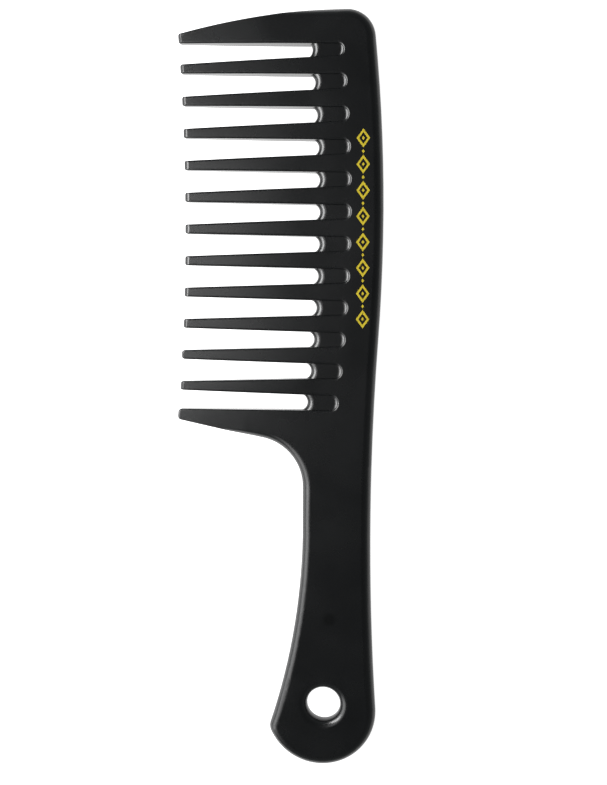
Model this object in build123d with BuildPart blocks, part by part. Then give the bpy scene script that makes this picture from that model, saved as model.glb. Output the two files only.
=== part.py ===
from build123d import *
import os
from math import asin, cos, degrees, radians, sin

# Wide tooth comb, in millimetres. It lies on its back face: X runs from the tooth tips (-X)
# to the back of the comb (+X), Y runs along the comb towards the head, and Z is up. The
# origin is at the middle of the bounding box, on the back face.

# ---- driving dimensions ----
thickness = 6.2  # of the back and the handle
taper_far_thickness = 2.8  # of the teeth's wedge at taper_far_x, so the tips are 3.5 thick
tooth_pitch = 10.0
gap_count = 12
first_gap_y = 108.4  # middle of the gap nearest the head
gap_half_root = 2.45  # half the width of a gap at taper_start_x
gap_half_tip = 3.45  # and at taper_end_x, because the teeth narrow towards their tips
head_guard_gain = 0.7  # the head guard reaches this much further into its gap than a tooth
taper_start_x = 8.0
taper_end_x = -29.0
taper_far_x = -35.0  # just beyond the tips

tip_line_x = -30.3  # the tips lie on a wide arc, and so do the ends of the gaps
gap_line_x = 12.95
gap_line_radius = 490.0
arc_middle_y = 60.0
pocket_length = 9.7  # from the end of a gap to the end of its pocket
pocket_end_roundness = 0.97  # corner radius of a pocket's end, as a share of half its width

rim_radius = 0.7  # along the teeth and round the pockets
tip_corner_radius = 1.2
tip_roll_radius = 1.7  # of the teeth's rounded ends, seen from the side
tip_roll_turn = 52.0
tip_slope_radius = 3.0  # and of the gentler slope from there to the faces
tip_slope_turn = 22.0
tip_roll_inset = 0.05  # the roll takes this much off the flat ends
edge_radius = 3.0  # of the handle and the back
notch_radius = 2.6  # of the round end of a gap
web_edge_radius = 2.4
web_width = 10.3  # more than a gap's width, so a web's rolled edge runs into both its walls
ramp_radius = 1.8  # where a pocket's floor rises to its end
ramp_angle = 42.0
ramp_plan_radius = 6.0

hole_x = 14.5
hole_y = -100.3
hole_diameter = 10.8
hole_rim_radius = 2.6

# ---- outline of the body ----
head_top = 120.7
head_apex = (26.5, head_top)
head_corner_radius = 9.0
back_apex_y = 58.5
back_apex = (33.0, back_apex_y)
upper_back_radius = 530.0
lower_back_radius = 580.0
lower_back_turn = 4.0
grip_back_radius = 880.0
grip_back_turn = 7.796
foot_radius = 17.95
foot_turn = 165.0
foot_corner_radius = 4.0
grip_top = (7.55, -41.0)
throat_corner = (7.55, -15.95)
throat_radius = 16.0
throat_share = 0.33  # of the guard's lower edge, taken up by the throat's curve
lower_tip = (-33.1, -7.55)
upper_tip = (-32.15, 114.2)

handle_top_y = -22.0  # the handle meets the back and the throat guard here
back_front_inset = 1.5  # the back's front wall is this far before the ends of the pockets

foil_thickness = 0.04
foil_x = 26.7  # middle of the stamped column
foil_end_y = 22.0
foil_pitch = 8.0
lozenge_count = 8
lozenge_half_width = 2.1
lozenge_half_height = 2.9
lozenge_line = 1.1
dot_half_width = 0.45
dot_half_height = 0.63

# ---- outside the comb, where cutting shapes end ----
far_x = 45.0
far_y = 135.0
rim_far_x = 37.0
rim_low_y = -20.0
guard_clearing_radius = 120.0  # the envelope's edge leaves the guard's edge on this arc
guard_clearing_turn = 15.0
plate_turn_radius = 8.0  # and the plate's edge leaves the throat on this one
plate_turn = 85.0
head_rise_radius = 50.0  # and the head on this one
head_rise_turn = 20.0

middle = thickness / 2


def on_arc(x, radius, y):
    """X at the height y of a wide arc that is at x in its middle."""
    return x - (y - arc_middle_y) ** 2 / (2 * radius)


def gap_half_width(x):
    """Half the width of a gap between two inner teeth."""
    slope = (gap_half_tip - gap_half_root) / (taper_end_x - taper_start_x)
    return gap_half_root + slope * (x - taper_start_x)


def is_rim(edge):
    """True for an edge of the faces along the teeth and round the pockets."""
    across_tooth = edge.geom_type == GeomType.LINE and abs(edge.center().X - taper_start_x) < 0.01
    return edge.center().X < rim_far_x and edge.center().Y > rim_low_y and not across_tooth


gap_middles = [first_gap_y - tooth_pitch * i for i in range(gap_count)]

# ---- envelope: the rolled outline of the back, the handle and the foot ----
with BuildPart() as envelope:
    with BuildSketch() as envelope_outline:
        with BuildLine():
            upper_back_turn = degrees(asin((head_top - back_apex_y) / upper_back_radius))
            upper_back = JernArc(back_apex, (0, 1), upper_back_radius, upper_back_turn)
            lower_back = JernArc(back_apex, (0, -1), lower_back_radius, -lower_back_turn)
            grip_back = JernArc(lower_back @ 1, lower_back % 1, grip_back_radius, grip_back_turn)
            foot = JernArc(grip_back @ 1, grip_back % 1, foot_radius, -foot_turn)
            TangentArc(grip_top, foot @ 1, tangent=(0, -1))
            guard_edge = Line(throat_corner, lower_tip, mode=Mode.PRIVATE)
            throat_end = guard_edge @ throat_share
            FilletPolyline(grip_top, throat_corner, throat_end, radius=throat_radius)
            clearing = JernArc(
                throat_end, guard_edge % 1, guard_clearing_radius, guard_clearing_turn
            )
            Polyline(clearing @ 1, (-far_x, (clearing @ 1).Y), (-far_x, head_top), upper_back @ 1)
        make_face()
        corner = envelope_outline.vertices().sort_by_distance((upper_back @ 1))[0]
        fillet(corner, radius=head_corner_radius)
        corner = envelope_outline.vertices().sort_by_distance((foot @ 1))[0]
        fillet(corner, radius=foot_corner_radius)
    extrude(amount=thickness)
    fillet(envelope.faces().filter_by(Axis.Z).edges(), radius=edge_radius)
    with Locations((hole_x, hole_y, thickness)):
        Hole(radius=hole_diameter / 2)
    rims = envelope.edges().filter_by(GeomType.CIRCLE)
    rims = rims.filter_by(lambda e: abs(e.radius - hole_diameter / 2) < 0.01)
    fillet(rims, radius=hole_rim_radius)

# ---- slots: the plan of each gap together with the pocket behind it ----
slots = []
for i, gap_y in enumerate(gap_middles):
    pocket_end = on_arc(gap_line_x, gap_line_radius, gap_y) + pocket_length
    upper_tip_side = lower_tip_side = gap_half_width(-far_x)
    upper_end_side = lower_end_side = gap_half_width(pocket_end)
    if i == 0:
        upper_tip_side -= head_guard_gain
        upper_end_side -= head_guard_gain
    if i == gap_count - 1:  # the throat guard is straight along its gap
        lower_tip_side = lower_end_side = gap_half_root
    with BuildSketch() as slot:
        with BuildLine():
            Polyline(
                (-far_x, gap_y - lower_tip_side),
                (pocket_end, gap_y - lower_end_side),
                (pocket_end, gap_y + upper_end_side),
                (-far_x, gap_y + upper_tip_side),
                close=True,
            )
        make_face()
        ends = slot.vertices().group_by(Axis.X)[-1]
        fillet(ends, radius=pocket_end_roundness * (upper_end_side + lower_end_side) / 2)
    slots.append(slot.sketch)

# ---- plate: the teeth and everything behind them, tapering in thickness to the tips ----
with BuildPart() as plate:
    with BuildSketch() as plate_outline:
        with BuildLine():
            tip_arc = ThreePointArc(lower_tip, (tip_line_x, arc_middle_y), upper_tip)
            TangentArc(head_apex, upper_tip, tangent=(-1, 0))
            Line(lower_tip, throat_end)
            turn = JernArc(throat_end, -(guard_edge % 1), plate_turn_radius, -plate_turn)
            away = Line(turn @ 1, (turn @ 1) + (turn % 1) * far_y)
            rising = JernArc(head_apex, (1, 0), head_rise_radius, head_rise_turn)
            Polyline(away @ 1, (far_x, (away @ 1).Y), (far_x, (rising @ 1).Y), rising @ 1)
        make_face()
        for slot_plan in slots:
            add(slot_plan, mode=Mode.SUBTRACT)
        tips = plate_outline.vertices().filter_by(lambda v: v.X < taper_end_x)
        fillet(tips, radius=tip_corner_radius)
    extrude(amount=thickness)
    with BuildSketch(Plane.XZ) as side_profile:
        with BuildLine():
            taper_far_top = (taper_far_x, middle + taper_far_thickness / 2)
            taper_far_bottom = (taper_far_x, middle - taper_far_thickness / 2)
            over = TangentArc((taper_start_x, thickness), taper_far_top, tangent=(-1, 0))
            under = TangentArc((taper_start_x, 0), taper_far_bottom, tangent=(-1, 0))
            Line(over @ 1, under @ 1)
            Polyline(over @ 0, (far_x, thickness), (far_x, 0), under @ 0)
        make_face()
    extrude(amount=2 * far_y, both=True, mode=Mode.INTERSECT)
    level = plate.faces().filter_by(lambda f: abs(f.normal_at(f.center()).Z) > 0.9)
    fillet(level.edges().filter_by(is_rim), radius=rim_radius)

# ---- roll: a ring about the centre of the tips' arc, whose inner edge rounds off the tips ----
with BuildPart() as roll:
    roll_centre = tip_arc.arc_center + (0, 0, middle)
    with BuildSketch(Plane(roll_centre, (-1, 0, 0), (0, 1, 0))) as roll_profile:
        with BuildLine():
            roll_end = (tip_arc.radius + tip_roll_inset, 0)
            nose = JernArc(roll_end, (0, 1), tip_roll_radius, -tip_roll_turn)
            slope = JernArc(nose @ 1, nose % 1, tip_slope_radius, -tip_slope_turn)
            clear = Line(slope @ 1, (slope @ 1) + (slope % 1) * far_y)
            Polyline(clear @ 1, ((clear @ 1).X, 0), roll_end)
        make_face()
        mirror(about=Plane.XZ)
    revolve(axis=Axis(roll_centre, (0, 0, 1)))

# ---- webs: the thinner floor of each pocket, rolled at the gap and rising at the back ----
ramp_top = middle - rim_radius * (1 - cos(radians(ramp_angle)))
web_half = ramp_top - ramp_radius * (1 - cos(radians(ramp_angle)))
ramp_run = ramp_radius * sin(radians(ramp_angle))
ramp_end = ramp_plan_radius + rim_radius * (1 - sin(radians(ramp_angle)))
webs = []
for gap_y in gap_middles:
    gap_end = on_arc(gap_line_x, gap_line_radius, gap_y)
    notch_x = gap_end - notch_radius
    ramp_axis_x = gap_end + pocket_length - ramp_plan_radius
    with BuildPart() as web:
        with Locations((notch_x, gap_y, middle)):
            Box(
                pocket_length + notch_radius,
                web_width,
                2 * web_half,
                align=(Align.MIN, Align.CENTER, Align.CENTER),
            )
            Cylinder(radius=notch_radius, height=thickness, mode=Mode.SUBTRACT)
        fillet(web.edges().filter_by(GeomType.CIRCLE), radius=web_edge_radius)
        ramp_plane = Plane((ramp_axis_x, gap_y, middle), (0, -1, 0), (-1, 0, 0))
        with BuildSketch(ramp_plane) as ramp:
            with BuildLine():
                ramp_foot = (ramp_end - ramp_run, web_half)
                slope_up = JernArc(ramp_foot, (1, 0), ramp_radius, ramp_angle)
                Polyline(slope_up @ 1, ((slope_up @ 1).X, 0), (ramp_foot[0], 0), ramp_foot)
            make_face()
            mirror(about=Plane.XZ)
        revolve(axis=Axis((ramp_axis_x, gap_y, middle), (0, 0, 1)), revolution_arc=180)
    webs.append(web.part)


# ---- cells: the moulding is divided into its regions along these walls ----
def prism(plan):
    """A tall block with the given plan, to cut with."""
    with BuildPart() as block:
        add(plan)
        extrude(amount=2 * thickness, both=True)
    return block.part


def envelope_in(cell):
    """The share of the envelope that lies inside a cell."""
    with BuildPart() as share:
        add(envelope.part)
        add(cell, mode=Mode.INTERSECT)
    return share.part


with BuildSketch() as back_plan:
    with BuildLine():
        front_x = gap_line_x + pocket_length - back_front_inset
        upper_split = (on_arc(front_x, gap_line_radius, far_y), far_y)
        lower_split = (on_arc(front_x, gap_line_radius, handle_top_y), handle_top_y)
        ThreePointArc(upper_split, (front_x, arc_middle_y), lower_split)
        Polyline(lower_split, (far_x, handle_top_y), (far_x, far_y), upper_split)
    make_face()
back_cell = prism(back_plan.sketch)
slot_cells = [prism(plan) for plan in slots]

band_limits = [far_y, *gap_middles, handle_top_y]
tooth_cells = []
for upper_y, lower_y in zip(band_limits, band_limits[1:]):
    with BuildSketch() as band:
        with Locations((0, lower_y)):
            Rectangle(2 * far_x, upper_y - lower_y, align=(Align.CENTER, Align.MIN))
        add(back_plan.sketch, mode=Mode.SUBTRACT)
    tooth_cells.append(prism(band.sketch))

# ---- the regions of the moulding ----
parts = []

with BuildPart() as handle:
    add(envelope.part)
    split(bisect_by=Plane((0, handle_top_y, 0), z_dir=(0, -1, 0)))
handle.part.label = "handle"
parts.append(handle.part)

back_envelope = envelope_in(back_cell)
with BuildPart() as back:
    add(plate.part)
    add(back_cell, mode=Mode.INTERSECT)
    add(webs)
    add(slot_cells, mode=Mode.SUBTRACT)
    add(back_cell, mode=Mode.INTERSECT)
    add(back_envelope, mode=Mode.INTERSECT)
back.part.label = "back"
parts.append(back.part)

guard_labels = {0: "head_guard", gap_count: "throat_guard"}
guard_envelopes = {i: envelope_in(tooth_cells[i]) for i in guard_labels}
for i, cell in enumerate(tooth_cells):
    with BuildPart() as tooth:
        add(plate.part)
        add(cell, mode=Mode.INTERSECT)
        add(webs[max(i - 1, 0) : i + 1])
        add(slot_cells[max(i - 1, 0) : i + 1], mode=Mode.SUBTRACT)
        add(cell, mode=Mode.INTERSECT)
        add(roll.part, mode=Mode.INTERSECT)
        if i in guard_envelopes:
            add(guard_envelopes[i], mode=Mode.INTERSECT)
    tooth.part.label = guard_labels.get(i, f"tooth_{i:02d}")
    parts.append(tooth.part)

for i, cell in enumerate(slot_cells):
    with BuildPart() as pocket_floor:
        add(webs[i])
        add(cell, mode=Mode.INTERSECT)
    pocket_floor.part.label = f"web_{i + 1:02d}"
    parts.append(pocket_floor.part)


# ---- foil: a stamped column of lozenges with a small solid one between each two ----
def lozenge(half_width, half_height, mode=Mode.ADD):
    """A diamond shape about the current location."""
    corners = [(half_width, 0), (0, half_height), (-half_width, 0), (0, -half_height)]
    return Polygon(*corners, align=None, mode=mode)


with BuildPart() as foil_stamp:
    with BuildSketch(Plane.XY.offset(thickness)):
        first_lozenge_y = foil_end_y + lozenge_half_height
        inner = 1 - lozenge_line / lozenge_half_height
        for i in range(lozenge_count):
            with Locations((foil_x, first_lozenge_y + foil_pitch * i)):
                lozenge(lozenge_half_width, lozenge_half_height)
                lozenge(lozenge_half_width * inner, lozenge_half_height * inner, Mode.SUBTRACT)
                lozenge(dot_half_width, dot_half_height)
        for i in range(lozenge_count - 1):
            with Locations((foil_x, first_lozenge_y + foil_pitch * (i + 0.5))):
                lozenge(dot_half_width, dot_half_height)
    extrude(amount=foil_thickness)
foil_stamp.part.label = "foil_stamp"
parts.append(foil_stamp.part)

os.makedirs("parts", exist_ok=True)
for part in parts:
    export_step(part, f"parts/{part.label}.step")
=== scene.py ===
from math import radians

import bpy
from mathutils import Matrix, Vector

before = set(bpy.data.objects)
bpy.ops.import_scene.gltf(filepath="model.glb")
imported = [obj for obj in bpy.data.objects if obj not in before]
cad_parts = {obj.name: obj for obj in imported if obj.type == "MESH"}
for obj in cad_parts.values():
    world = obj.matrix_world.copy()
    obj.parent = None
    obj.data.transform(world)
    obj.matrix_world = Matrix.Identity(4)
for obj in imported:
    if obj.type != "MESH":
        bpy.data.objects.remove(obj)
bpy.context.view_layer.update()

MM = 0.001
UNIT = (0.0, 1.0)
WHITE = (1.0, 1.0, 1.0, 1.0)
# the part of a noise's range that nearly all of its values lie in
NOISE_SPAN = (0.3, 0.7)

# ---- the comb: the CAD nodes keep their shapes, and get smooth normals and their finishes ----
FOIL = "foil_stamp"
WELD_GAP = 1e-6
CREASE_ANGLE = radians(30)

# ---- camera: above the stamped face, square to the comb but a little to its back ----
CAMERA_PLACE = (0.0434, 0.0306, 0.3493)
CAMERA_RIGHT = Vector((0.9947, 0.0005, -0.1024))
CAMERA_UP = Vector((-0.0091, 0.9965, -0.0832))
LENS_MM = 50.0
SENSOR_MM = 36.0

# ---- studio: a pale sky that is brighter at the horizon than overhead ----
SKY_COLOUR = (0.93, 0.99, 1.0, 1.0)
SKY_STRENGTH = (0.40, 0.10)

# ---- black plastic: the mark is a faint round witness mark that the mould left on the handle, glossier, with its shade painted in as a darker colour ----
PLASTIC_IOR = 1.49
PLASTIC_DARK = (0.0016, 0.0018, 0.0020, 1.0)
PLASTIC_PALE = (0.0028, 0.0030, 0.0033, 1.0)
PLASTIC_ROUGHNESS = (0.24, 0.29)
CLOUD_SCALE = 60.0
CLOUD_DETAIL = 3.0
CLOUD_SPAN = (0.25, 0.75)
GRAIN_SCALE = 3200.0
GRAIN_STRENGTH = 0.155
GRAIN_HEIGHT = 0.02 * MM
MARK_PLACE_MM = (16.4, -71.7, 6.2)
MARK_RADII = (1.2 * MM, 2.6 * MM)
MARK_FADE = (1.0, 0.0)
# painted shade: the darker colour of the witness mark
MARK_SHADE_COLOUR = (0.0010, 0.0011, 0.0012, 1.0)
MARK_ROUGHNESS_GAIN = -0.03

# ---- gold foil ----
FOIL_METALLIC = 0.35
FOIL_DARK = (0.38, 0.29, 0.012, 1.0)
FOIL_PALE = (0.54, 0.43, 0.022, 1.0)
FOIL_ROUGHNESS = (0.35, 0.5)
FOIL_SPECKLE_SCALE = 2500.0

# ---- floor: a white sweep that glows, a painted glow from no lamp, more strongly on the side of the teeth ----
FLOOR_HALF = 1.5
FLOOR_DROP = 0.05 * MM
FLOOR_TINT = (0.07, 0.09)
FLOOR_TINT_SCALE = 30.0
FLOOR_ROUGHNESS = 0.9
FLOOR_PAINTED_GLOW_X = (-0.05, 0.03)
FLOOR_PAINTED_GLOW = (2.4, 1.0)


def placed(x_axis, y_axis, z_axis, origin):
    """The matrix of an object with these axes and this origin."""
    turn = Matrix((x_axis, y_axis, z_axis)).transposed()
    return Matrix.Translation(origin) @ turn.to_4x4()


# ---- shader helpers ----
def new_material(name):
    material = bpy.data.materials.new(name)
    material.use_nodes = True
    nodes = material.node_tree.nodes
    return material, nodes, material.node_tree.links, nodes["Principled BSDF"]


def own_coordinates(nodes):
    return nodes.new("ShaderNodeTexCoord").outputs["Object"]


def noise(nodes, links, coordinates, scale, detail=2.0):
    node = nodes.new("ShaderNodeTexNoise")
    node.inputs["Scale"].default_value = scale
    node.inputs["Detail"].default_value = detail
    links.new(coordinates, node.inputs["Vector"])
    return node.outputs["Fac"]


def remap(nodes, links, value, source, target):
    """Takes a value from the source span to the target span, and holds it at their ends."""
    node = nodes.new("ShaderNodeMapRange")
    node.inputs["From Min"].default_value, node.inputs["From Max"].default_value = source
    node.inputs["To Min"].default_value, node.inputs["To Max"].default_value = target
    links.new(value, node.inputs["Value"])
    return node.outputs["Result"]


def blend(nodes, links, factor, first, second):
    """Goes from the first colour, which may come from a socket, to the second by factor."""
    node = nodes.new("ShaderNodeMix")
    node.data_type = "RGBA"
    if isinstance(first, bpy.types.NodeSocket):
        links.new(first, node.inputs["A"])
    else:
        node.inputs["A"].default_value = first
    node.inputs["B"].default_value = second
    links.new(factor, node.inputs["Factor"])
    return node.outputs["Result"]


# ---- materials ----
def near_shaded_witness_mark(nodes, links):
    """1 within the witness mark, whose painted shade darkens the plastic, and 0 outside it."""
    distance = nodes.new("ShaderNodeVectorMath")
    distance.operation = "DISTANCE"
    links.new(nodes.new("ShaderNodeNewGeometry").outputs["Position"], distance.inputs[0])
    distance.inputs[1].default_value = Vector(MARK_PLACE_MM) * MM
    return remap(nodes, links, distance.outputs["Value"], MARK_RADII, MARK_FADE)


def black_plastic():
    """Satin black moulded plastic: a fine grain, a slow change of gloss, and a witness mark with
    painted shade.
    """
    material, nodes, links, shader = new_material("black_plastic")
    place = own_coordinates(nodes)
    shader.inputs["IOR"].default_value = PLASTIC_IOR
    cloud = noise(nodes, links, place, CLOUD_SCALE, CLOUD_DETAIL)
    shade = remap(nodes, links, cloud, NOISE_SPAN, UNIT)
    plain = blend(nodes, links, shade, PLASTIC_DARK, PLASTIC_PALE)
    mark = near_shaded_witness_mark(nodes, links)
    # painted shade: the base colour is darker within the witness mark
    mark_shaded = blend(nodes, links, mark, plain, MARK_SHADE_COLOUR)
    links.new(mark_shaded, shader.inputs["Base Color"])
    gloss = nodes.new("ShaderNodeMath")
    gloss.operation = "MULTIPLY_ADD"
    links.new(mark, gloss.inputs[0])
    gloss.inputs[1].default_value = MARK_ROUGHNESS_GAIN
    links.new(remap(nodes, links, cloud, CLOUD_SPAN, PLASTIC_ROUGHNESS), gloss.inputs[2])
    links.new(gloss.outputs["Value"], shader.inputs["Roughness"])
    bump = nodes.new("ShaderNodeBump")
    bump.inputs["Strength"].default_value = GRAIN_STRENGTH
    bump.inputs["Distance"].default_value = GRAIN_HEIGHT
    links.new(noise(nodes, links, place, GRAIN_SCALE), bump.inputs["Height"])
    links.new(bump.outputs["Normal"], shader.inputs["Normal"])
    return material


def gold_foil():
    """Hot-stamped foil: a warm gold with a fine pressed grain."""
    material, nodes, links, shader = new_material("gold_foil")
    shader.inputs["Metallic"].default_value = FOIL_METALLIC
    speckle = noise(nodes, links, own_coordinates(nodes), FOIL_SPECKLE_SCALE)
    links.new(blend(nodes, links, speckle, FOIL_DARK, FOIL_PALE), shader.inputs["Base Color"])
    links.new(remap(nodes, links, speckle, NOISE_SPAN, FOIL_ROUGHNESS), shader.inputs["Roughness"])
    return material


def pale_floor():
    """A white sweep that glows a little, like a light table: a painted glow, stronger on the side
    of the teeth.
    """
    material, nodes, links, shader = new_material("pale_floor")
    place = own_coordinates(nodes)
    cloud = noise(nodes, links, place, FLOOR_TINT_SCALE)
    links.new(remap(nodes, links, cloud, UNIT, FLOOR_TINT), shader.inputs["Base Color"])
    parts = nodes.new("ShaderNodeSeparateXYZ")
    links.new(place, parts.inputs["Vector"])
    # painted glow: the floor gives off light, more on the teeth's side
    glow = remap(nodes, links, parts.outputs["X"], FLOOR_PAINTED_GLOW_X, FLOOR_PAINTED_GLOW)
    links.new(glow, shader.inputs["Emission Strength"])
    shader.inputs["Roughness"].default_value = FLOOR_ROUGHNESS
    shader.inputs["Emission Color"].default_value = WHITE
    return material


# ---- pieces ----
def dress(node, material):
    """Gives a CAD node its finish, and normals that run smoothly over its rolled edges."""
    node.data.materials.clear()
    node.data.materials.append(material)
    weld = node.modifiers.new("weld", "WELD")
    weld.merge_threshold = WELD_GAP
    crease = node.modifiers.new("crease", "EDGE_SPLIT")
    crease.split_angle = CREASE_ANGLE
    node.modifiers.new("even", "WEIGHTED_NORMAL")


def add_floor():
    mesh = bpy.data.meshes.new("floor")
    half = FLOOR_HALF
    corners = [(-half, -half, 0), (half, -half, 0), (half, half, 0), (-half, half, 0)]
    mesh.from_pydata(corners, [], [(0, 1, 2, 3)])
    mesh.materials.append(pale_floor())
    floor = bpy.data.objects.new("floor", mesh)
    floor.location = (0, 0, -FLOOR_DROP)
    bpy.context.collection.objects.link(floor)


# ---- camera and lights ----
def add_camera():
    data = bpy.data.cameras.new("camera")
    data.lens = LENS_MM
    data.sensor_width = SENSOR_MM
    camera = bpy.data.objects.new("camera", data)
    backward = CAMERA_RIGHT.cross(CAMERA_UP)
    camera.matrix_world = placed(CAMERA_RIGHT, CAMERA_UP, backward, CAMERA_PLACE)
    bpy.context.collection.objects.link(camera)
    bpy.context.scene.camera = camera


def add_softbox(name, place, target, width, length, power):
    """A rectangular area light at place that faces target; width is across and length along Y."""
    data = bpy.data.lights.new(name, "AREA")
    data.shape = "RECTANGLE"
    data.size = width
    data.size_y = length
    data.energy = power
    lamp = bpy.data.objects.new(name, data)
    away = (Vector(place) - Vector(target)).normalized()
    side = Vector((0.0, 1.0, 0.0)).cross(away).normalized()
    lamp.matrix_world = placed(side, away.cross(side), away, place)
    bpy.context.collection.objects.link(lamp)


def light_the_studio():
    world = bpy.data.worlds.new("studio")
    world.use_nodes = True
    nodes, links = world.node_tree.nodes, world.node_tree.links
    direction = nodes.new("ShaderNodeTexCoord").outputs["Generated"]
    parts = nodes.new("ShaderNodeSeparateXYZ")
    links.new(direction, parts.inputs["Vector"])
    glow = remap(nodes, links, parts.outputs["Z"], UNIT, SKY_STRENGTH)
    links.new(glow, nodes["Background"].inputs["Strength"])
    nodes["Background"].inputs["Color"].default_value = SKY_COLOUR
    bpy.context.scene.world = world
    bpy.context.scene.view_settings.view_transform = "Standard"
    add_softbox(
        "key", place=(-0.28, 0.13, 0.24), target=(0.0, 0.13, 0.0),
        width=0.17, length=0.38, power=3.0,
    )
    add_softbox(
        "key_low", place=(-0.28, -0.20, 0.24), target=(0.0, -0.20, 0.0),
        width=0.28, length=0.30, power=0.70,
    )
    add_softbox(
        "fill", place=(-0.9, -0.1, 0.45), target=(0.0, 0.0, 0.0),
        width=0.7, length=1.6, power=6.0,
    )
    add_softbox(
        "top", place=(-0.36, 0.065, 0.80), target=(-0.1, 0.065, 0.0),
        width=0.38, length=0.29, power=0.68,
    )


plastic = black_plastic()
foil = gold_foil()
for name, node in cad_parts.items():
    dress(node, foil if name == FOIL else plastic)

add_camera()
light_the_studio()
add_floor()
